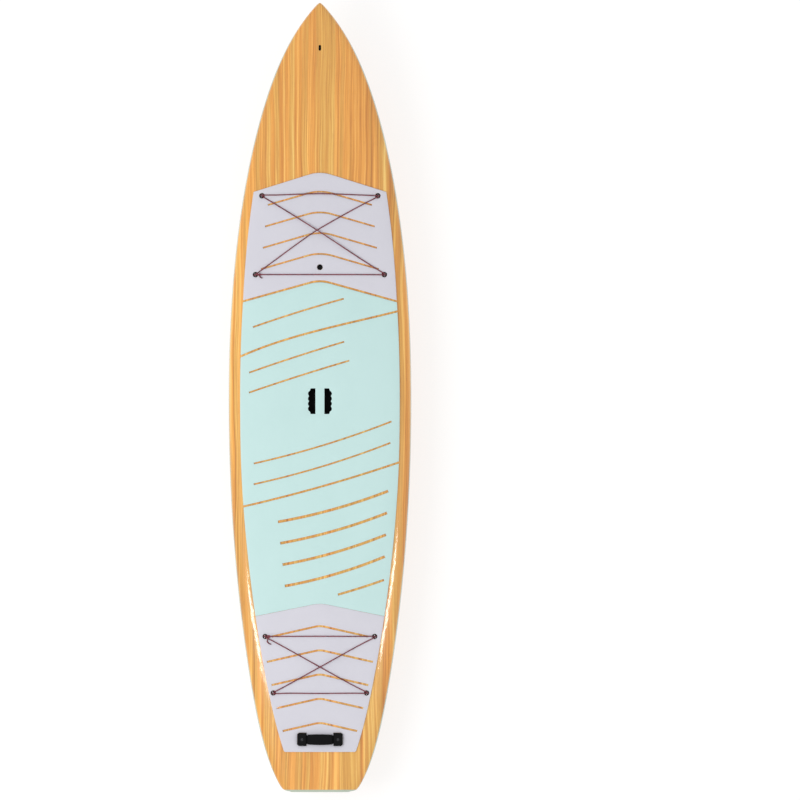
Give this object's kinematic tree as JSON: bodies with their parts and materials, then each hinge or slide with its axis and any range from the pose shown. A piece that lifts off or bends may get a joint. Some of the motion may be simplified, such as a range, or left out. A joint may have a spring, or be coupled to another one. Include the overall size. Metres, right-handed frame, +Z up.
{
  "type": "stand up paddleboard",
  "caption": "Long touring paddleboard with a pointed nose, square tail, wood-veneer skins, grooved deck pads, crossed bungee nets, carry handles and a sliding centre fin.",
  "frame": {"origin": "at mid-length on the centre line, level with the tip of the fin", "axes": "+Y to the nose, +X to the right of someone who stands on the deck and faces the nose, +Z up from the deck"},
  "size_m": [0.813, 3.505, 0.3825],
  "materials": {
    "wood_veneer": "glossy lacquer over straight grain",
    "rail_paint": "gloss paint",
    "stringer_wood": "bare",
    "core_foam": "closed-cell foam",
    "dense_foam": "high-density foam",
    "cup_plastic": "moulded",
    "lavender_eva": "fine brushed EVA foam",
    "mint_eva": "fine brushed EVA foam",
    "black_plastic": "moulded",
    "steel": "stainless",
    "bungee_cord": "braided cover",
    "seal_rubber": "moulded",
    "black_webbing": "woven",
    "black_eva": "moulded foam",
    "black_steel": "black oxide",
    "brass": "turned",
    "box_plastic": "moulded",
    "smoked_plastic": "smoked translucent, polished"
  },
  "bodies": {
    "board": {"deck_skin": "wood_veneer", "bottom_skin": "wood_veneer", "rail_band": "rail_paint", "stringer": "stringer_wood", "foam_core_left": "core_foam", "foam_core_right": "core_foam", "handle_block": "dense_foam", "fin_block": "dense_foam", "tail_block": "dense_foam", "handle_cup": "cup_plastic", "front_pad": "lavender_eva", "tail_pad": "lavender_eva", "mint_pad_front": "mint_eva", "mint_pad_middle": "mint_eva", "mint_pad_rear": "mint_eva", "front_anchor_cups": "black_plastic", "rear_anchor_cups": "black_plastic", "front_anchor_bars": "steel", "rear_anchor_bars": "steel", "front_bungee": "bungee_cord", "rear_bungee": "bungee_cord", "front_knot": "bungee_cord", "rear_knot": "bungee_cord", "vent_body": "black_plastic", "nose_eye": "black_plastic", "nose_eye_bar": "black_steel", "tail_cap_left": "black_plastic", "tail_cap_right": "black_plastic", "tail_strap_left": "black_webbing", "tail_strap_right": "black_webbing", "tail_screws": "black_steel", "tail_inserts": "brass", "fin_box": "box_plastic"},
    "fin": {"fin_blade": "smoked_plastic", "fin_pin": "steel"},
    "fin_screw": {"fin_screw": "steel"},
    "fin_plate": {"fin_plate": "steel"},
    "vent_ring": {"vent_ring": "seal_rubber"},
    "vent_cap": {"vent_cap": "black_plastic"},
    "tail_grip": {"tail_grip": "black_eva"}
  },
  "joints": [
    {"name": "fin_slide", "type": "slide", "parent": "board", "child": "fin", "axis": [0, 0.999, -0.0451], "range_m": [0, 0.051]},
    {"name": "fin_screw_turn", "type": "hinge", "parent": "fin", "child": "fin_screw", "pos_m": [0, -1.30506, 0.2161], "axis": [0, -0.0451, -0.999], "range_deg": [0, 540]},
    {"name": "fin_plate_rise", "type": "slide", "parent": "fin", "child": "fin_plate", "axis": [0, 0.0451, 0.999], "range_m": [0, 0.00105]},
    {"name": "vent_rise", "type": "slide", "parent": "board", "child": "vent_ring", "axis": [0, -0.0223, 0.9998], "range_m": [0, 0.003]},
    {"name": "vent_turn", "type": "hinge", "parent": "vent_ring", "child": "vent_cap", "pos_m": [0, 0.58, 0.32856], "axis": [0, -0.0223, 0.9998], "range_deg": [0, 720]},
    {"name": "tail_handle_lift", "type": "slide", "parent": "board", "child": "tail_grip", "axis": [0, -0.0456, 0.999], "range_m": [0, 0.012], "stiffness_N_per_m": 300, "deforming": ["tail_strap_left", "tail_strap_right"]}
  ],
  "couplings": [
    {"joint": "fin_screw_turn", "follows": "fin_plate_rise", "rad_per_m": 8975.9},
    {"joint": "vent_turn", "follows": "vent_rise", "rad_per_m": 4188.7}
  ]
}
